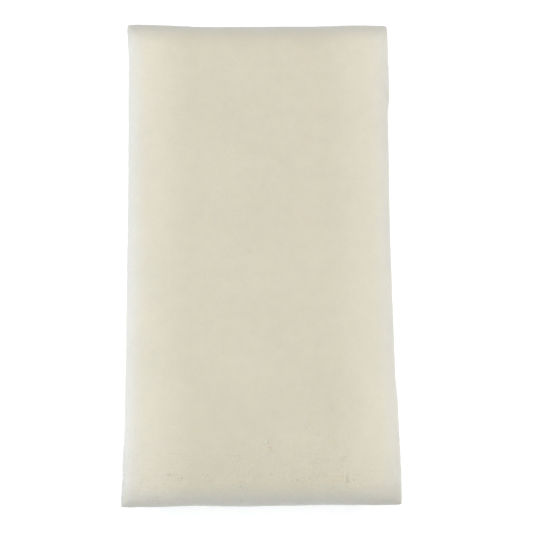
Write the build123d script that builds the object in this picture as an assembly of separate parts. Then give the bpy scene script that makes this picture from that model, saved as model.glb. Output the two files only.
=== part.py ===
from build123d import *
import os
import random

# Floral foam brick: one block of rigid, open-cell foam, and the foam crumbs that lie on its top face.
# Millimetres, +Z up. The origin is the centre of the bottom face. X runs across the brick, Y along it
# and Z through its thickness.

# Driving dimensions
WIDTH = 110.0
LENGTH = 200.0
THICKNESS = 75.0

# Edges of the block. The top edges are well eased, and the other edges are only dulled by handling.
TOP_EDGE_RADIUS = 9.0
UPRIGHT_EDGE_RADIUS = 1.5
BOTTOM_EDGE_RADIUS = 1.0

# Crumbs: small flat-bottomed chips scattered over a strip of the top face, thickest at the front end.
CRUMB_COUNT = 16
CRUMB_SMALLEST = 0.7
CRUMB_LARGEST = 1.5
CRUMB_HEIGHT_SHARE = 0.7
CRUMB_SINK_SHARE = 0.25
CRUMB_STRIP_WIDTH = WIDTH - 4 * TOP_EDGE_RADIUS
CRUMB_STRIP_LENGTH = 30.0
CRUMB_STRIP_START = 1.2 * TOP_EDGE_RADIUS
CRUMB_SEED = 5


def foam_block():
    """The whole brick, cut to size, resting on its bottom face."""
    block = Box(WIDTH, LENGTH, THICKNESS, align=(Align.CENTER, Align.CENTER, Align.MIN))
    block = fillet(block.edges().filter_by(Axis.Z), UPRIGHT_EDGE_RADIUS)
    block = fillet(block.faces().sort_by(Axis.Z)[0].edges(), BOTTOM_EDGE_RADIUS)
    return fillet(block.faces().sort_by(Axis.Z)[-1].edges(), TOP_EDGE_RADIUS)


def crumb(size, lean):
    """An irregular chip about as wide as size, flat underneath, standing on the XY plane at the origin.

    It is what an upright box and a leaning one share. lean is the leaning box's three turns, in degrees.
    """
    height = size * CRUMB_HEIGHT_SHARE
    upright = Box(size, size, height)
    leaning = Rotation(*lean) * Box(size, size, size)
    lift = height * (0.5 - CRUMB_SINK_SHARE)
    ground = Box(2 * size, 2 * size, size, align=(Align.CENTER, Align.CENTER, Align.MAX))
    chip = Pos(0, 0, lift) * (upright & leaning) - ground
    return chip.solid()


def loose_crumbs():
    """All the crumbs, each one standing on the top face in the strip at the front end."""
    scatter = random.Random(CRUMB_SEED)
    front_of_strip = CRUMB_STRIP_START - LENGTH / 2
    chips = []
    for _ in range(CRUMB_COUNT):
        size = scatter.uniform(CRUMB_SMALLEST, CRUMB_LARGEST)
        lean = [scatter.uniform(0, 90) for _ in range(3)]
        x = scatter.uniform(-0.5, 0.5) * CRUMB_STRIP_WIDTH
        y = front_of_strip + scatter.triangular(0, CRUMB_STRIP_LENGTH, 0)
        chips.append(Pos(x, y, THICKNESS) * crumb(size, lean))
    return Compound(chips)


os.makedirs("parts", exist_ok=True)
export_step(foam_block(), "parts/foam_block.step")
export_step(loose_crumbs(), "parts/loose_crumbs.step")
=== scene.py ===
import math
import random

import bmesh
import bpy
import numpy as np
from mathutils import Euler, Matrix, Vector, noise


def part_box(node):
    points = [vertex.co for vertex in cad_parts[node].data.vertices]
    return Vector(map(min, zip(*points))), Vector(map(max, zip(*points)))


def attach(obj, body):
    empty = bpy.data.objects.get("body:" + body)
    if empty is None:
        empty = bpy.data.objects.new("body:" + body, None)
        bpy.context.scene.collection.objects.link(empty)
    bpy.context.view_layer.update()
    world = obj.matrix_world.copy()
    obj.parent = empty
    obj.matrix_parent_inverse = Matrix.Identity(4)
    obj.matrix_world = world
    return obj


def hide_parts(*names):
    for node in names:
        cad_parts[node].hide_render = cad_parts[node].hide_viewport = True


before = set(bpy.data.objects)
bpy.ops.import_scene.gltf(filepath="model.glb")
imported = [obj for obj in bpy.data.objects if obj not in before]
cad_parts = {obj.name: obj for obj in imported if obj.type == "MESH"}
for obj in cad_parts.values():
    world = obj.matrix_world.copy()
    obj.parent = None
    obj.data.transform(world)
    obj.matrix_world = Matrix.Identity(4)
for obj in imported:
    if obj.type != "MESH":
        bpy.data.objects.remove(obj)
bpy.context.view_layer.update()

# A floral foam brick lying flat, seen nearly from above. Metres. X runs across the brick, Y along it and
# Z through its thickness, and the origin is the centre of the bottom face.
#
# The brick is one closed mesh, the skin of a lattice of points. The top is laid out as if its eased edges
# were rolled out flat, so the points stay evenly spaced where it turns down to the sides. Each point then
# moves along its normal for waves, cut marks, pits, crumbled edges and the nick. Three numbers kept at
# each point (how broken it is, the share of painted pale highlight, and how open its cells are) tell the
# material what the foam is like there and where it paints shade and highlight.

MM = 0.001

# The block, from the CAD node that it stands for
LOW, HIGH = (np.array(corner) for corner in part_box("foam_block"))
HALF_WIDTH = (HIGH[0] - LOW[0]) / 2
HALF_LENGTH = (HIGH[1] - LOW[1]) / 2
HEIGHT = HIGH[2] - LOW[2]


def bell(t, centre, reach):
    """A smooth bump that is 1 at the centre and fades away beyond its reach."""
    return np.exp(-((t - centre) / reach) ** 2)


def ramp(t, start, end):
    """0 before start, 1 after end, and smooth between them."""
    s = np.clip((t - start) / (end - start), 0, 1)
    return s * s * (3 - 2 * s)


def put_in_scene(name, data):
    """A new object in the scene, made of this mesh, light or camera."""
    made = bpy.data.objects.new(name, data)
    bpy.context.scene.collection.objects.link(made)
    return made


# ---------------------------------------------------------------- the smooth block

# Eased top edges: how far in from the outline each one starts. An end's edge tightens towards the corners,
# from TIGHTENS_FROM of the half width, and has lost its TIGHTER share there.
SIDE_EASE = 6.0 * MM
FRONT_EASE = 11.0 * MM
BACK_EASE = 17.0 * MM
TIGHTENS_FROM = 0.4
FRONT_TIGHTER = 0.5
BACK_TIGHTER = 0.25

# Where two eased edges meet, the drop is the root of the sum of their drops, each to this power. A higher
# power leaves a crisper ridge between them.
CORNER_POWER = 4

# Crowns: how far the top has fallen at each edge, and how far in from the edge the fall starts
SIDE_CROWN = 2.2 * MM
SIDE_CROWN_REACH = 32 * MM
FRONT_CROWN = 2.6 * MM
FRONT_CROWN_REACH = 38 * MM
BACK_CROWN = 0.5 * MM
BACK_CROWN_REACH = 18 * MM

# The other edges
UPRIGHT_RADIUS = 0.4 * MM
BOTTOM_RADIUS = 1.0 * MM

# Outline seen from above, as (place along the side, how far it stands out there), in millimetres. It is
# full from OUTLINE_FULL_AT of the height upwards, and only OUTLINE_AT_BOTTOM of it is left at the bottom.
LEFT_SIDE = ((-100, 0.8), (-86, 0.1), (-66, -0.75), (-30, -0.95), (30, -1.15), (80, -0.75), (100, 0.15))
RIGHT_SIDE = ((-100, 0.7), (-62, 0.0), (-47, -0.7), (5, -0.9), (58, -0.35), (68, 0.6), (100, 0.6))
FRONT_END = ((-55, -0.9), (-32, -0.6), (-8, 0.0), (20, 0.0), (55, -0.3))
BACK_END = ((-55, 1.8), (-40, 1.6), (-20, 1.4), (10, 1.5), (30, 1.4), (55, 1.0))
OUTLINE_FULL_AT = 0.8
OUTLINE_AT_BOTTOM = 0.3

# The nick: a short slit in the top face, deepest near its front end, and a sliver of foam lifted beside
# it. The place and reach of the deepest part are in half lengths of the nick.
NICK = np.array([33.2, -88.0]) * MM
NICK_LENGTH = 5.0 * MM
SLIT_DEPTH = 0.6 * MM
SLIT_SHALLOW_SHARE = 0.35
SLIT_DEEPEST_AT = -0.6
SLIT_DEEPEST_REACH = 0.3
SLIT_REACH = 0.3 * MM
SLIVER_LIFT = 0.4 * MM
SLIVER_OFFSET = -1.0 * MM
SLIVER_REACH = 0.35 * MM

# Mesh spacing, and the places where it is finer, as (place, reach, spacing). The spacing along an axis is
# worked out from this many samples.
COARSE = 1.12 * MM
SPACING_SAMPLES = 8001
FINE_AT_NICK = (NICK[0], 2 * MM, 0.2 * MM)
FINE_AT_FRONT = (-HALF_LENGTH, 22 * MM, 0.5 * MM)
FINE_AT_BOTTOM = (0, 2 * MM, 0.5 * MM)


def stations(low, high, fine_spot):
    """Places from low to high, COARSE apart, but closer near the fine spot."""
    place, reach, spacing = fine_spot
    t = np.linspace(low, high, SPACING_SAMPLES)
    density = 1 / COARSE + (1 / spacing - 1 / COARSE) * bell(t, place, reach)
    steps = (density[1:] + density[:-1]) / 2 * np.diff(t)
    total = np.concatenate([[0], np.cumsum(steps)])
    return np.interp(np.linspace(0, total[-1], round(total[-1]) + 1), total, t)


def developed(half, ease):
    """Half of the top's length when its eased edge is rolled out flat."""
    return half - ease + ease * math.pi / 2


def roll(share, half, ease):
    """Rolls the edge over again: how far out a point lies, and how far the eased edge has dropped there.

    share is the point's place when rolled out, from -1 to 1.
    """
    s = share * developed(half, ease)
    turn = np.clip((np.abs(s) - (half - ease)) / ease, 0, math.pi / 2)
    inside = np.minimum(np.abs(s), half - ease)
    return np.sign(s) * (inside + ease * np.sin(turn)), ease * (1 - np.cos(turn))


def crown(place, half, depth, reach):
    """A slow fall of the top face that starts at reach from the edge and is depth at the edge."""
    return depth * np.clip(1 - (half - place) / reach, 0, 1) ** 2


def shell_of_lattice(nx, ny, nz):
    """Lattice places of the points on a box's skin, and the quads that join them."""
    on_skin = np.zeros((nx, ny, nz), bool)
    on_skin[[0, -1]] = True
    on_skin[:, [0, -1]] = True
    on_skin[:, :, [0, -1]] = True
    number = np.full((nx, ny, nz), -1)
    number[on_skin] = np.arange(on_skin.sum())
    quads = []
    for sheet, outward in (
        (number[:, :, -1], True),
        (number[:, :, 0], False),
        (number[-1], True),
        (number[0], False),
        (number[:, -1], False),
        (number[:, 0], True),
    ):
        corners = [sheet[:-1, :-1], sheet[1:, :-1], sheet[1:, 1:], sheet[:-1, 1:]]
        if not outward:
            corners.reverse()
        quads.append(np.stack(corners, -1).reshape(-1, 4))
    return np.argwhere(on_skin), np.concatenate(quads)


def out_of_true(t, outline):
    """How far a side with this outline stands out at t, joining the outline's places smoothly."""
    places, offsets = np.array(outline).T * MM
    t = np.clip(t, places[0], places[-1])
    before = np.clip(np.searchsorted(places, t, side="right") - 1, 0, len(places) - 2)
    rise = ramp(t, places[before], places[before + 1])
    return offsets[before] * (1 - rise) + offsets[before + 1] * rise


def true_to_outline(x, y, z):
    """Draws the sides out to the real outline, less and less towards the bottom."""
    out_x = np.where(x > 0, out_of_true(y, RIGHT_SIDE), -out_of_true(y, LEFT_SIDE))
    out_y = np.where(y > 0, out_of_true(x, BACK_END), -out_of_true(x, FRONT_END))
    kept = OUTLINE_AT_BOTTOM + (1 - OUTLINE_AT_BOTTOM) * ramp(z, 0, OUTLINE_FULL_AT * HEIGHT)
    x = x + out_x * kept * ramp(np.abs(x), 0, HALF_WIDTH)
    y = y + out_y * kept * ramp(np.abs(y), 0, HALF_LENGTH)
    return x, y


def round_uprights(x, y):
    """Rounds the corners of the plan, by drawing the corner squares in to quarter discs."""
    dx = np.maximum(np.abs(x) - (HALF_WIDTH - UPRIGHT_RADIUS), 0)
    dy = np.maximum(np.abs(y) - (HALF_LENGTH - UPRIGHT_RADIUS), 0)
    length = np.hypot(dx, dy)
    shrink = np.where(length > 0, np.maximum(dx, dy) / np.where(length > 0, length, 1), 1)
    return x - np.sign(x) * dx * (1 - shrink), y - np.sign(y) * dy * (1 - shrink)


def round_bottom(x, y, z):
    """Rounds the bottom edges, by drawing the plan in near the bottom."""
    near_bottom = np.clip(BOTTOM_RADIUS - z, 0, BOTTOM_RADIUS)
    inset = BOTTOM_RADIUS - np.sqrt(BOTTOM_RADIUS ** 2 - near_bottom ** 2)
    return x * (1 - inset / HALF_WIDTH), y * (1 - inset / HALF_LENGTH)


def second_nearest(*distances):
    """The second smallest of each point's distances to the faces: its distance to the nearest edge."""
    return np.sort(np.stack(distances, -1), axis=1)[:, 1]


def top_height(x, y, drop_x, drop_y):
    """Height of the top face, from the drops of its eased edges and from its crowns."""
    top = HEIGHT - (drop_x ** CORNER_POWER + drop_y ** CORNER_POWER) ** (1 / CORNER_POWER)
    top -= crown(np.abs(x), HALF_WIDTH, SIDE_CROWN, SIDE_CROWN_REACH)
    top -= crown(-y, HALF_LENGTH, FRONT_CROWN, FRONT_CROWN_REACH)
    top -= crown(y, HALF_LENGTH, BACK_CROWN, BACK_CROWN_REACH)
    return top


def block_surface():
    """Points and quads of the smooth block, and how far each point is from the nearest edge."""
    reach_x = developed(HALF_WIDTH, SIDE_EASE)
    front_reach = developed(HALF_LENGTH, FRONT_EASE)
    back_reach = developed(HALF_LENGTH, BACK_EASE)
    across = stations(-reach_x, reach_x, FINE_AT_NICK)
    along = stations(-front_reach, back_reach, FINE_AT_FRONT)
    up = stations(0, HEIGHT - SIDE_EASE, FINE_AT_BOTTOM)
    places, quads = shell_of_lattice(len(across), len(along), len(up))
    across = across[places[:, 0]]
    along = along[places[:, 1]]
    up = up[places[:, 2]] / up[-1]

    at_front = along < 0
    end_ease = np.where(at_front, FRONT_EASE, BACK_EASE)
    end_reach = np.where(at_front, front_reach, back_reach)
    tighter = np.where(at_front, FRONT_TIGHTER, BACK_TIGHTER)
    x, drop_x = roll(across / reach_x, HALF_WIDTH, SIDE_EASE)
    end_ease *= 1 - tighter * ramp(np.abs(x), TIGHTENS_FROM * HALF_WIDTH, HALF_WIDTH)
    y, drop_y = roll(along / end_reach, HALF_LENGTH, end_ease)
    top = top_height(x, y, drop_x, drop_y)
    z = top * up

    to_edge = second_nearest(HALF_WIDTH - np.abs(x), HALF_LENGTH - np.abs(y), np.minimum(z, top - z))
    x, y = round_uprights(x, y)
    x, y = round_bottom(x, y, z)
    x, y = true_to_outline(x, y, z)
    return np.stack([x, y, z], -1), quads, to_edge


# ---------------------------------------------------------------- marks in the surface

# Noise in the surface, as (height, wavelengths along X, Y and Z, seed)
WAVES = (0.10 * MM, (45 * MM, 45 * MM, 45 * MM), 3.1)
DENTS = (0.02 * MM, (5 * MM, 5 * MM, 5 * MM), 8.7)
TORN_CELLS = (0.10 * MM, (2.6 * MM, 2.6 * MM, 2.6 * MM), 1.3)
WALL_CUTS = (0.12 * MM, (90 * MM, 90 * MM, 2.4 * MM), 5.3)
BOTTOM_CUTS = (0.12 * MM, (90 * MM, 2.4 * MM, 90 * MM), 6.9)
LARGE_CHIPS = (0.96 * MM, (6 * MM, 6 * MM, 6 * MM), 2.2)
SMALL_CHIPS = (0.64 * MM, (2.2 * MM, 2.2 * MM, 2.2 * MM), 4.4)

# The strip at the front end that handling has marked, and how much deeper the dents become there
FRONT_STRIP = 30 * MM
DENTS_DEEPEN_BY = 3.5

# Pits left by burst cells: how many there are on each part of the block, the sizes they run between, and
# how deep they are for their radius. A higher rarity leaves fewer large ones.
PIT_SEED = 11
PITS_ON_TOP = 14
PITS_NEAR_FRONT = 60
PITS_ON_WALLS = 460
PITS_UNDERNEATH = 240
PIT_SMALLEST = 0.7 * MM
PIT_LARGEST = 2.2 * MM
PIT_RARITY = 3
PIT_STEEPNESS = 0.42
TOP_PIT_STEEPNESS = 0.2

# Crumbled edges: how near an edge the chips are full and where they end, how far below the top they start
# and are full, how deep they can be, and how much deeper they are than the noise makes them
CHIPS_FULL_WITHIN = 0.4 * MM
CHIPS_WITHIN = 3.2 * MM
CHIPS_START_DOWN = 1.7 * BACK_EASE
CHIPS_FULL_DOWN = 2.5 * BACK_EASE
CHIP_DEEPEST = 1.6 * MM
CHIPS_DEEPER_BY = 0.08 * MM

# Which way a point faces, from its normal's component that way: it starts to count at the first number
# and fully counts at the second
FACING_UP = (0.1, 0.9)
FACING_DOWN = (0.8, 1.0)
FACING_END = (0.4, 0.9)

# A point whose normal's Z is less than this lies flat on the floor, and moves only inwards
FLAT_ON_FLOOR = -0.9

# How open the cells are on top, and how much more so near the front end, on the walls and on the ends
# The material paints shade where the cells are open, so these also paint the front strip and the walls
# darker
OPEN_ON_TOP = 0.1
OPENER_NEAR_FRONT = 0.45
OPENER_ON_WALLS = 0.6
OPENER_ON_ENDS = 0.3

# Painted pale highlight: how near an edge it is full and where that ends, the share of it that is lost low
# down the walls, so that they are painted darker lower down, and how far below the top that loss is
# complete
RIM_HIGHLIGHT_FULL_WITHIN = 1 * MM
RIM_HIGHLIGHT_WITHIN = 10 * MM
RIM_HIGHLIGHT_LOST = 0.65
RIM_HIGHLIGHT_LOST_BY = 0.45 * HEIGHT

# A pit, chip or slit this deep counts as fully broken, and gets the full painted shade
FULL_SHADE_DEPTH = 0.8 * MM


def noise_layer(points, layer):
    """The height of one layer of noise at each point."""
    height, wavelengths, seed = layer
    scaled = points / np.array(wavelengths) + seed
    return height * np.array([noise.noise(p) for p in scaled.tolist()])


def nearness_to_front(points):
    """0 behind the front strip, and 1 at the front end."""
    return ramp(-points[:, 1], HALF_LENGTH - FRONT_STRIP, HALF_LENGTH)


def below_top(normals):
    """0 on the top face, 1 on the walls and underneath, and between them on the eased edges."""
    return 1 - ramp(normals[:, 2], *FACING_UP)


def open_cells(points, normals):
    """How open the cells are: nearly closed on the smooth top, and most open on the two sawn ends."""
    on_end = ramp(np.abs(normals[:, 1]), *FACING_END)
    on_walls = below_top(normals) * (OPENER_ON_WALLS + OPENER_ON_ENDS * on_end)
    return np.clip(OPEN_ON_TOP + OPENER_NEAR_FRONT * nearness_to_front(points) + on_walls, 0, 1)


def unevenness(points, normals, openness):
    """Slow waves, dents near the front end, and the cutting wire's marks on the walls and underneath."""
    waves = noise_layer(points, WAVES)
    dents = noise_layer(points, DENTS) * (1 + DENTS_DEEPEN_BY * nearness_to_front(points))
    underneath = ramp(-normals[:, 2], *FACING_DOWN)
    wall_cuts = noise_layer(points, WALL_CUTS) * (1 - underneath)
    bottom_cuts = noise_layer(points, BOTTOM_CUTS) * underneath
    return waves + dents + (wall_cuts + bottom_cuts + noise_layer(points, TORN_CELLS)) * openness


def random_spots(scatter, count, low, high):
    """Places drawn evenly from the box between two corners."""
    return [Vector([scatter.uniform(a, b) for a, b in zip(low, high)]) for _ in range(count)]


def wall_spot(scatter):
    """A place drawn evenly from the four walls."""
    z = scatter.uniform(0, HEIGHT)
    side = scatter.choice((-1, 1))
    if scatter.random() < HALF_LENGTH / (HALF_LENGTH + HALF_WIDTH):
        return Vector((side * HALF_WIDTH, scatter.uniform(-HALF_LENGTH, HALF_LENGTH), z))
    return Vector((scatter.uniform(-HALF_WIDTH, HALF_WIDTH), side * HALF_LENGTH, z))


def pits():
    """Centre, radius and depth of each pit. The centres are on the sharp box round the block."""
    scatter = random.Random(PIT_SEED)
    x, y, top = HALF_WIDTH, HALF_LENGTH, HEIGHT
    on_top = random_spots(scatter, PITS_ON_TOP, (-x, -y, top), (x, y, top))
    on_top += random_spots(scatter, PITS_NEAR_FRONT, (-x, -y, top), (x, -y + FRONT_STRIP, top))
    elsewhere = random_spots(scatter, PITS_UNDERNEATH, (-x, -y, 0), (x, y, 0))
    elsewhere += [wall_spot(scatter) for _ in range(PITS_ON_WALLS)]
    made = []
    for spots, steepness in ((on_top, TOP_PIT_STEEPNESS), (elsewhere, PIT_STEEPNESS)):
        for centre in spots:
            radius = PIT_SMALLEST + (PIT_LARGEST - PIT_SMALLEST) * scatter.random() ** PIT_RARITY
            made.append((centre, radius, steepness * radius))
    return made


def pit_depths(points):
    """How deep in a pit each point lies."""
    depths = np.zeros(len(points))
    for centre, radius, depth in pits():
        reach = np.linalg.norm(points - np.array(centre), axis=1) / radius
        near = reach < 1
        depths[near] = np.maximum(depths[near], depth * (1 - reach[near] ** 2))
    return depths


def edge_chips(points, to_edge):
    """How much of the foam has crumbled away from the upright and bottom edges."""
    near_edge = 1 - ramp(to_edge, CHIPS_FULL_WITHIN, CHIPS_WITHIN)
    low_enough = ramp(HEIGHT - points[:, 2], CHIPS_START_DOWN, CHIPS_FULL_DOWN)
    ragged = noise_layer(points, LARGE_CHIPS) + noise_layer(points, SMALL_CHIPS) + CHIPS_DEEPER_BY
    return np.clip(ragged, 0, CHIP_DEEPEST) * near_edge * low_enough


def nick_height(points):
    """The nick's slit, below zero, and the sliver lifted beside it, above zero."""
    across = points[:, 0] - NICK[0]
    along = (points[:, 1] - NICK[1]) / (NICK_LENGTH / 2)
    on_top = points[:, 2] > HEIGHT / 2
    deepening = (1 - SLIT_SHALLOW_SHARE) * bell(along, SLIT_DEEPEST_AT, SLIT_DEEPEST_REACH)
    slit = -SLIT_DEPTH * (SLIT_SHALLOW_SHARE + deepening) * bell(across, 0, SLIT_REACH)
    sliver = SLIVER_LIFT * bell(across, SLIVER_OFFSET, SLIVER_REACH)
    within_length = np.clip(1 - along ** 4, 0, 1)
    return (slit + sliver) * within_length * on_top


def rim_highlight(points, normals, to_edge):
    """Share of the painted pale highlight: 0 on most of the top face, 1 at its eased edges, and less again
    lower down.
    """
    near_edge = 1 - ramp(to_edge, RIM_HIGHLIGHT_FULL_WITHIN, RIM_HIGHLIGHT_WITHIN)
    low_down = ramp(HEIGHT - points[:, 2], SIDE_EASE, RIM_HIGHLIGHT_LOST_BY)
    return np.maximum(near_edge, below_top(normals)) * (1 - RIM_HIGHLIGHT_LOST * low_down)


def normals_of(mesh):
    """The normal at each point of a mesh."""
    normals = np.zeros(len(mesh.vertices) * 3, np.float32)
    mesh.vertex_normals.foreach_get("vector", normals)
    return normals.reshape(-1, 3).astype(float)


def store(mesh, name, values):
    """Keeps one number a point on the mesh, for its material to read."""
    attribute = mesh.attributes.new(name, "FLOAT", "POINT")
    attribute.data.foreach_set("value", values.astype(np.float32))


def make_foam_brick():
    """The brick, with its marks in the mesh. Nothing goes below the floor."""
    points, quads, to_edge = block_surface()
    mesh = bpy.data.meshes.new("foam_brick")
    mesh.from_pydata(points.tolist(), [], quads.tolist())
    mesh.shade_smooth()
    normals = normals_of(mesh)
    openness = open_cells(points, normals)
    pitted = pit_depths(points)
    chipped = edge_chips(points, to_edge)
    nick = nick_height(points)
    lift = unevenness(points, normals, openness) - pitted - chipped + nick
    lift = np.where((normals[:, 2] < FLAT_ON_FLOOR) & (lift > 0), 0, lift)
    marked = points + normals * lift[:, None]
    marked[:, 2] = np.maximum(marked[:, 2], 0)
    mesh.vertices.foreach_set("co", marked.astype(np.float32).ravel())
    mesh.update()
    # Painted shade goes where the foam is broken, and a painted pale highlight on the eased edges and
    # walls
    store(mesh, "broken", np.clip((pitted + chipped - np.minimum(nick, 0)) / FULL_SHADE_DEPTH, 0, 1))
    store(mesh, "rim_highlight", rim_highlight(marked, normals, to_edge))
    store(mesh, "openness", openness)
    return put_in_scene("foam_brick", mesh)


# ---------------------------------------------------------------- crumbs

# A crumb is a lumpy ball, squashed along Y and Z, leant over and turned. Its width is the CAD crumb's. Its
# place, times CRUMB_VARIETY, shifts its lumps, so that no two crumbs are alike.
CRUMB_SEED = 23
CRUMB_DETAIL = 2
CRUMB_RAGGEDNESS = 0.42
CRUMB_LUMPS_ACROSS = 3.5
CRUMB_VARIETY = 900
CRUMB_SQUASH_Y = (0.6, 0.95)
CRUMB_SQUASH_Z = (0.4, 0.6)
CRUMB_LEAN = (-0.3, 0.3)
CRUMB_TURN = (0, 6.28)

# The share of its lower half that stands clear of the brick
CRUMB_CLEAR_SHARE = 0.5

# CAD corners closer than this are one corner
WELD_DISTANCE = 0.01 * MM


def joined_to(vert):
    """All the points of the mesh that edges join to this one, itself included."""
    found = set()
    to_visit = [vert]
    while to_visit:
        point = to_visit.pop()
        if point not in found:
            found.add(point)
            to_visit += [edge.other_vert(point) for edge in point.link_edges]
    return found


def crumb_spots():
    """Where each crumb of the CAD node stands, and how wide it is."""
    shape = bmesh.new()
    shape.from_mesh(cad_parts["loose_crumbs"].data)
    bmesh.ops.remove_doubles(shape, verts=shape.verts, dist=WELD_DISTANCE)
    left = set(shape.verts)
    spots = []
    while left:
        crumb = joined_to(next(iter(left)))
        left -= crumb
        corners = np.array([vert.co for vert in crumb])
        middle = (corners.min(0) + corners.max(0)) / 2
        spots.append((middle[0], middle[1], float(np.ptp(corners[:, :2], axis=0).max())))
    shape.free()
    return sorted(spots)


def add_crumb(shape, scatter, place, width):
    """Adds one ragged chip to the mesh, bedded in the brick's top face at this place."""
    made = bmesh.ops.create_icosphere(shape, subdivisions=CRUMB_DETAIL, radius=width / 2)
    squash = Vector((1, scatter.uniform(*CRUMB_SQUASH_Y), scatter.uniform(*CRUMB_SQUASH_Z)))
    angles = [scatter.uniform(*limits) for limits in (CRUMB_LEAN, CRUMB_LEAN, CRUMB_TURN)]
    turn = Euler(angles).to_matrix()
    own_noise = Vector((place.x, place.y, 0)) * CRUMB_VARIETY
    for vert in made["verts"]:
        lump = noise.noise(vert.co * CRUMB_LUMPS_ACROSS / width + own_noise)
        vert.co = turn @ (vert.co * (1 + CRUMB_RAGGEDNESS * lump) * squash)
    lowest = min(vert.co.z for vert in made["verts"])
    for vert in made["verts"]:
        vert.co += place - Vector((0, 0, CRUMB_CLEAR_SHARE * lowest))


def make_crumbs(brick):
    """One mesh of separate ragged chips, each one bedded in the brick's top face."""
    scatter = random.Random(CRUMB_SEED)
    shape = bmesh.new()
    for x, y, width in crumb_spots():
        _, place, _, _ = brick.ray_cast(Vector((x, y, 2 * HEIGHT)), Vector((0, 0, -1)))
        add_crumb(shape, scatter, place, width)
    mesh = bpy.data.meshes.new("crumbs")
    shape.to_mesh(mesh)
    shape.free()
    return put_in_scene("crumbs", mesh)


# ---------------------------------------------------------------- building blocks of the materials

# A pore is at full depth within this share of its radius
PORE_FLOOR = 0.4

# A Mix node has sockets for each kind of value. These are the ones for its share and for colours.
MIX_SHARE = 0
MIX_FIRST_COLOUR = 6
MIX_SECOND_COLOUR = 7
MIX_COLOUR = 2


def new_material(name, settings):
    """A material of one Principled shader with these settings, its node tree, and the shader."""
    material = bpy.data.materials.new(name)
    material.use_nodes = True
    tree = material.node_tree
    skin = tree.nodes["Principled BSDF"]
    for socket, value in settings.items():
        skin.inputs[socket].default_value = value
    return material, tree, skin


def plug(tree, value, socket):
    """Feeds a node's input with another node's output, a plain number or a colour."""
    if isinstance(value, bpy.types.NodeSocket):
        tree.links.new(value, socket)
    elif isinstance(value, tuple):
        socket.default_value = (*value, 1)
    else:
        socket.default_value = value


def add(tree, kind, **settings):
    """A new node of this kind with its settings."""
    node = tree.nodes.new(kind)
    for name, value in settings.items():
        setattr(node, name, value)
    return node


def maths(tree, operation, *values):
    """The result of a math node on these values, each of them an output or a plain number."""
    node = add(tree, "ShaderNodeMath", operation=operation)
    for value, socket in zip(values, node.inputs):
        plug(tree, value, socket)
    return node.outputs["Value"]


def place_in_mm(tree):
    """The piece's own coordinates, in millimetres."""
    coordinates = add(tree, "ShaderNodeTexCoord")
    scale = add(tree, "ShaderNodeMapping")
    scale.inputs["Scale"].default_value = (1 / MM,) * 3
    tree.links.new(coordinates.outputs["Object"], scale.inputs["Vector"])
    return scale.outputs["Vector"]


def attribute_of(tree, name):
    """A number kept at each point of the mesh."""
    return add(tree, "ShaderNodeAttribute", attribute_name=name).outputs["Fac"]


def noise_of(tree, place, size, detail=2):
    """Noise whose features are about size millimetres across."""
    node = add(tree, "ShaderNodeTexNoise")
    plug(tree, place, node.inputs["Vector"])
    plug(tree, 1 / size, node.inputs["Scale"])
    plug(tree, detail, node.inputs["Detail"])
    return node.outputs["Fac"]


def cells_of(tree, place, size):
    """Foam cells about size millimetres across. Distance is from a cell's middle, and Color is its own."""
    node = add(tree, "ShaderNodeTexVoronoi", feature="F1")
    plug(tree, place, node.inputs["Vector"])
    plug(tree, 1 / size, node.inputs["Scale"])
    return node.outputs


def spread(tree, value, low, high, to_low, to_high, interpolation="LINEAR"):
    """Value from low to high, stretched to run from to_low to to_high."""
    node = add(tree, "ShaderNodeMapRange", interpolation_type=interpolation)
    for name, number in zip(("From Min", "From Max", "To Min", "To Max"), (low, high, to_low, to_high)):
        plug(tree, number, node.inputs[name])
    plug(tree, value, node.inputs["Value"])
    return node.outputs["Result"]


def varied(tree, place, size, detail, low, high, noise_range=(0.3, 0.7)):
    """A number that wanders from low to high and back over about size millimetres.

    noise_range is the part of the noise's range that is stretched to fill low to high.
    """
    return spread(tree, noise_of(tree, place, size, detail), *noise_range, low, high)


def mix(tree, share, first, second, blend="MIX"):
    """Two colours mixed. Each of share, first and second is an output or a plain value."""
    node = add(tree, "ShaderNodeMix", data_type="RGBA", blend_type=blend)
    plug(tree, share, node.inputs[MIX_SHARE])
    plug(tree, first, node.inputs[MIX_FIRST_COLOUR])
    plug(tree, second, node.inputs[MIX_SECOND_COLOUR])
    return node.outputs[MIX_COLOUR]


def either_shader(tree, share, first, second):
    """The first shader where the share is 0, the second where it is 1, and a mix of them between."""
    node = add(tree, "ShaderNodeMixShader")
    for value, socket in zip((share, first, second), node.inputs):
        plug(tree, value, socket)
    return node.outputs["Shader"]


def pinholes(tree, place, size, radius, share):
    """1 inside small round holes, fading to 0 round them: one hole in a share of the cells of a grid."""
    cells = cells_of(tree, place, size)
    edge = radius / size
    inside = spread(tree, cells["Distance"], edge, PORE_FLOOR * edge, 0, 1, "SMOOTHSTEP")
    shade = add(tree, "ShaderNodeSeparateColor")
    plug(tree, cells["Color"], shade.inputs["Color"])
    chosen = maths(tree, "LESS_THAN", shade.outputs["Red"], share)
    return maths(tree, "MULTIPLY", inside, chosen)


def bumps(tree, height, distance, strength, base=None):
    """A bump of height times distance millimetres, on top of the base bump if there is one."""
    node = add(tree, "ShaderNodeBump")
    plug(tree, distance * MM, node.inputs["Distance"])
    plug(tree, strength, node.inputs["Strength"])
    plug(tree, height, node.inputs["Height"])
    if base is not None:
        plug(tree, base, node.inputs["Normal"])
    return node.outputs["Normal"]


# ---------------------------------------------------------------- foam

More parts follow.
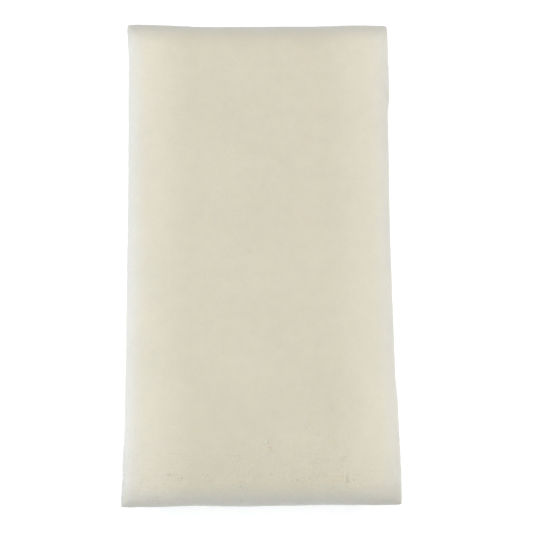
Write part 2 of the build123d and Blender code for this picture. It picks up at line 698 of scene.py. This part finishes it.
# Colours of the foam: the middle of the top, painted light on its outer parts towards the long sides, a
# painted pale highlight on its edges and the walls, painted shade at the sawn ends, and painted shade
# where it is broken and in its pores
CREAM = (0.700, 0.655, 0.522)
PAINTED_SIDE_LIGHT = (0.780, 0.740, 0.615)
PAINTED_RIM_HIGHLIGHT = (0.775, 0.770, 0.725)
PAINTED_END_SHADE = (0.600, 0.583, 0.508)
PAINTED_BROKEN_SHADE = (0.600, 0.545, 0.410)

# How far in from the sides or ends the painted light and the painted end shade start and are full, in
# millimetres
SIDE_LIGHT_WITHIN = 30
SIDE_LIGHT_FULL_WITHIN = 4
END_SHADE_WITHIN = 12

# The most of each painted highlight and painted shade that is mixed in
RIM_HIGHLIGHT_SHARE = 0.68
END_SHADE_SHARE = 0.85
BROKEN_SHADE_SHARE = 0.28
PORE_SHADE_SHARE = 0.8

# Mottling, as (size in millimetres, detail, darkest, lightest), and for patches the noise's range too
PATCHES = (34, 2, 0.985, 1.015, (0.35, 0.65))
MOTTLE = (5, 4, 0.985, 1.012)
GRAIN = (0.7, 3, 0.96, 1.035)
FOAM_ROUGHNESS = (3, 3, 0.78, 0.92)

# Painted shade for the cells' self-shadowing, and the share of the grain, where the cells are closed and
# where they are open
OPEN_CELL_PAINTED_SHADE = (1.0, 0.88)
GRAIN_SHARE = (0.4, 1.4)

# Pores, as (grid, radius, share of the grid's cells that have one), and bumps, as (size, height), in
# millimetres. Bumps are weaker where the cells are closed.
LARGE_PORES = (3.0, 0.42, 0.55)
SMALL_PORES = (1.3, 0.24, 0.6)
PORE_DEPTH = 0.35
COARSE_BUMPS = (2.2, 0.16)
CELL_BUMPS = (0.6, 0.16)
FINE_BUMPS = (0.3, 0.07)
COARSE_DETAIL = 3
BUMP_STRENGTH = (0.25, 0.9)
FINE_STRENGTH = 0.6

FOAM_SKIN = {
    "Specular IOR Level": 0.2,
    "Sheen Weight": 0.5,
    "Sheen Roughness": 0.45,
    "Subsurface Weight": 0.3,
    "Subsurface Radius": (1.0, 0.85, 0.55),
    "Subsurface Scale": 4 * MM,
}

# Crumbs: their colour, mottling, bumps and settings, in the same forms
CRUMB = (0.745, 0.700, 0.580)
CRUMB_SHADE = (0.4, 3, 0.9, 1.04)
CRUMB_ROUGHNESS = (0.5, 2, 0.8, 0.95)
CRUMB_CELLS = (0.22, 0.05)
CRUMB_CELL_STRENGTH = 0.7
CRUMB_SKIN = {
    "Subsurface Weight": 0.5,
    "Subsurface Scale": 0.6 * MM,
}


def distances_from_middle(tree, place):
    """How far across and how far along from the middle of the brick a point is, in millimetres."""
    axes = add(tree, "ShaderNodeSeparateXYZ")
    plug(tree, place, axes.inputs["Vector"])
    return [maths(tree, "ABSOLUTE", axes.outputs[axis]) for axis in ("X", "Y")]


def colour_by_place(tree, place):
    """Cream, with painted light towards the long sides, a painted pale highlight on the edges and walls,
    and painted shade at the sawn ends.
    """
    across, along = distances_from_middle(tree, place)
    half_width, half_length = HALF_WIDTH / MM, HALF_LENGTH / MM
    # Painted light towards the long sides
    side_light = spread(
        tree, across, half_width - SIDE_LIGHT_WITHIN, half_width - SIDE_LIGHT_FULL_WITHIN, 0, 1, "SMOOTHSTEP"
    )
    # Painted shade towards the ends
    end_shade = spread(
        tree, along, half_length - END_SHADE_WITHIN, half_length, 0, END_SHADE_SHARE, "SMOOTHSTEP"
    )
    # Painted pale highlight on the edges and walls
    rim = maths(tree, "MULTIPLY", attribute_of(tree, "rim_highlight"), RIM_HIGHLIGHT_SHARE)
    colour = mix(tree, side_light, CREAM, PAINTED_SIDE_LIGHT)
    colour = mix(tree, rim, colour, PAINTED_RIM_HIGHLIGHT)
    return mix(tree, end_shade, colour, PAINTED_END_SHADE)


def foam_colour(tree, place, openness, pores):
    """The colour of each place, mottled, with painted shade where the cells are open, where the foam is
    broken and in its pores.
    """
    colour = colour_by_place(tree, place)
    for shade in (
        varied(tree, place, *PATCHES),
        varied(tree, place, *MOTTLE),
        spread(tree, openness, 0, 1, *OPEN_CELL_PAINTED_SHADE),
    ):
        colour = mix(tree, 1.0, colour, shade, "MULTIPLY")
    grain_share = spread(tree, openness, 0, 1, *GRAIN_SHARE)
    colour = mix(tree, grain_share, colour, varied(tree, place, *GRAIN), "MULTIPLY")
    # Painted shade in the pits, chips and slit, and in the pores
    broken = maths(tree, "MULTIPLY", attribute_of(tree, "broken"), BROKEN_SHADE_SHARE)
    colour = mix(tree, broken, colour, PAINTED_BROKEN_SHADE)
    return mix(tree, maths(tree, "MULTIPLY", pores, PORE_SHADE_SHARE), colour, PAINTED_BROKEN_SHADE)


def foam_bumps(tree, place, openness, pores):
    """Coarse lumps, cells and fine grain, one on top of the other, and the pores sunk into them."""
    strength = spread(tree, openness, 0, 1, *BUMP_STRENGTH)
    size, height = COARSE_BUMPS
    coarse = bumps(tree, noise_of(tree, place, size, COARSE_DETAIL), height, strength)
    size, height = CELL_BUMPS
    cells = bumps(tree, cells_of(tree, place, size)["Distance"], height, strength, coarse)
    size, height = FINE_BUMPS
    fine = bumps(tree, noise_of(tree, place, size), height, FINE_STRENGTH, cells)
    return bumps(tree, pores, -PORE_DEPTH, 1.0, fine)


def foam_material():
    """Matt cream foam, faintly translucent, with fine cells that show as grain and pinholes."""
    material, tree, skin = new_material("foam", FOAM_SKIN)
    place = place_in_mm(tree)
    openness = attribute_of(tree, "openness")
    large_pores = pinholes(tree, place, *LARGE_PORES)
    small_pores = pinholes(tree, place, *SMALL_PORES)
    pores = maths(tree, "MULTIPLY", maths(tree, "MAXIMUM", large_pores, small_pores), openness)
    plug(tree, foam_colour(tree, place, openness, pores), skin.inputs["Base Color"])
    plug(tree, varied(tree, place, *FOAM_ROUGHNESS), skin.inputs["Roughness"])
    plug(tree, foam_bumps(tree, place, openness, pores), skin.inputs["Normal"])
    return material


def crumb_material():
    """The same foam, freshly broken: paler, rougher and without the mottling of the skin."""
    material, tree, skin = new_material("crumbs", CRUMB_SKIN)
    place = place_in_mm(tree)
    shade = varied(tree, place, *CRUMB_SHADE)
    plug(tree, mix(tree, 1.0, CRUMB, shade, "MULTIPLY"), skin.inputs["Base Color"])
    plug(tree, varied(tree, place, *CRUMB_ROUGHNESS), skin.inputs["Roughness"])
    size, height = CRUMB_CELLS
    cells = bumps(tree, cells_of(tree, place, size)["Distance"], height, CRUMB_CELL_STRENGTH)
    plug(tree, cells, skin.inputs["Normal"])
    return material


# ---------------------------------------------------------------- stage, light and camera

WHITE = (1.0, 1.0, 1.0)
BACKDROP = (0.97, 0.97, 0.97)
AMBIENT_STRENGTH = 0.32

# Floor: its size, its mottling, as for the foam, and its settings
FLOOR_SIZE = 40.0
FLOOR_SHADE = (180, 2, 0.93, 0.95)
FLOOR_SKIN = {
    "Roughness": 0.8,
    "Emission Color": (*WHITE, 1),
    "Emission Strength": 0.27,
}

# The floor fades into the backdrop between these distances from the middle of the brick
FADE_START = 0.2
FADE_END = 0.8

# Softboxes, as (place, size, power, colour)
LEFT_SOFTBOX = ((-0.62, -0.15, 0.34), (0.30, 0.40), 1.70, (0.80, 0.88, 1.0))
RIGHT_SOFTBOX = ((0.62, -0.15, 0.34), (0.30, 0.40), 0.92, (1.0, 1.0, 0.95))
TOP_SOFTBOX = ((0, 0.18, 1.1), (0.6, 0.5), 6.15, WHITE)

# Camera: its lens and sensor in millimetres, how far it is from the place it aims at, where it stands
# round that place and above it, and how far it is rolled
CAMERA_LENS = 50.0
CAMERA_SENSOR = 36.0
CAMERA_DISTANCE = 302 * MM
CAMERA_AZIMUTH = math.radians(-9.9)
CAMERA_ELEVATION = math.radians(83.0)
CAMERA_ROLL = math.radians(9.3)
CAMERA_AIM = Vector((2.85, -4.2, 68.0)) * MM


def floor_material():
    """Pale matt floor with a faint glow, which fades into the backdrop with distance."""
    material, tree, skin = new_material("floor", FLOOR_SKIN)
    place = place_in_mm(tree)
    shade = varied(tree, place, *FLOOR_SHADE)
    plug(tree, mix(tree, 1.0, WHITE, shade, "MULTIPLY"), skin.inputs["Base Color"])
    backdrop = add(tree, "ShaderNodeEmission")
    plug(tree, BACKDROP, backdrop.inputs["Color"])
    distance = add(tree, "ShaderNodeVectorMath", operation="LENGTH")
    plug(tree, place, distance.inputs[0])
    far = spread(tree, distance.outputs["Value"], FADE_START / MM, FADE_END / MM, 0, 1, "SMOOTHSTEP")
    surface = either_shader(tree, far, skin.outputs["BSDF"], backdrop.outputs["Emission"])
    plug(tree, surface, tree.nodes["Material Output"].inputs["Surface"])
    return material


def make_floor():
    """A floor wide enough to reach the backdrop."""
    bpy.ops.mesh.primitive_plane_add(size=FLOOR_SIZE, location=(0, 0, 0))
    floor = bpy.context.object
    floor.name = "floor"
    floor.data.materials.append(floor_material())


def softbox(name, place, size, power, colour):
    """A soft rectangular light at place, turned to face the middle of the brick's top."""
    light = bpy.data.lights.new(name, "AREA")
    light.shape = "RECTANGLE"
    light.size, light.size_y = size
    light.energy = power
    light.color = colour
    lamp = put_in_scene(name, light)
    lamp.location = place
    lamp.rotation_euler = (Vector((0, 0, HEIGHT)) - Vector(place)).to_track_quat("-Z", "Y").to_euler()


def make_world():
    """Soft light from all round, with a paler backdrop where the camera sees it."""
    world = bpy.data.worlds.new("studio")
    bpy.context.scene.world = world
    world.use_nodes = True
    tree = world.node_tree
    ambient = tree.nodes["Background"]
    plug(tree, WHITE, ambient.inputs["Color"])
    plug(tree, AMBIENT_STRENGTH, ambient.inputs["Strength"])
    backdrop = add(tree, "ShaderNodeBackground")
    plug(tree, BACKDROP, backdrop.inputs["Color"])
    seen = add(tree, "ShaderNodeLightPath").outputs["Is Camera Ray"]
    surface = either_shader(tree, seen, ambient.outputs["Background"], backdrop.outputs["Background"])
    plug(tree, surface, tree.nodes["World Output"].inputs["Surface"])


def make_camera():
    """A camera above the brick, a little to the front and left, rolled so that the brick is upright."""
    data = bpy.data.cameras.new("camera")
    data.lens = CAMERA_LENS
    data.sensor_width = CAMERA_SENSOR
    camera = put_in_scene("camera", data)
    level = math.cos(CAMERA_ELEVATION)
    back = Vector((
        math.sin(CAMERA_AZIMUTH) * level,
        -math.cos(CAMERA_AZIMUTH) * level,
        math.sin(CAMERA_ELEVATION),
    ))
    turn = (-back).to_track_quat("-Z", "Y").to_matrix().to_4x4()
    spin = Matrix.Rotation(CAMERA_ROLL, 4, "Z")
    camera.matrix_world = Matrix.Translation(CAMERA_AIM + back * CAMERA_DISTANCE) @ turn @ spin
    bpy.context.scene.camera = camera


brick = make_foam_brick()
brick.data.materials.append(foam_material())
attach(brick, "root")
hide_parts("foam_block")

crumbs = make_crumbs(brick)
crumbs.data.materials.append(crumb_material())
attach(crumbs, "root")
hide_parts("loose_crumbs")

make_floor()
softbox("left_softbox", *LEFT_SOFTBOX)
softbox("right_softbox", *RIGHT_SOFTBOX)
softbox("top_softbox", *TOP_SOFTBOX)
make_world()
make_camera()
bpy.context.scene.view_settings.view_transform = "Standard"
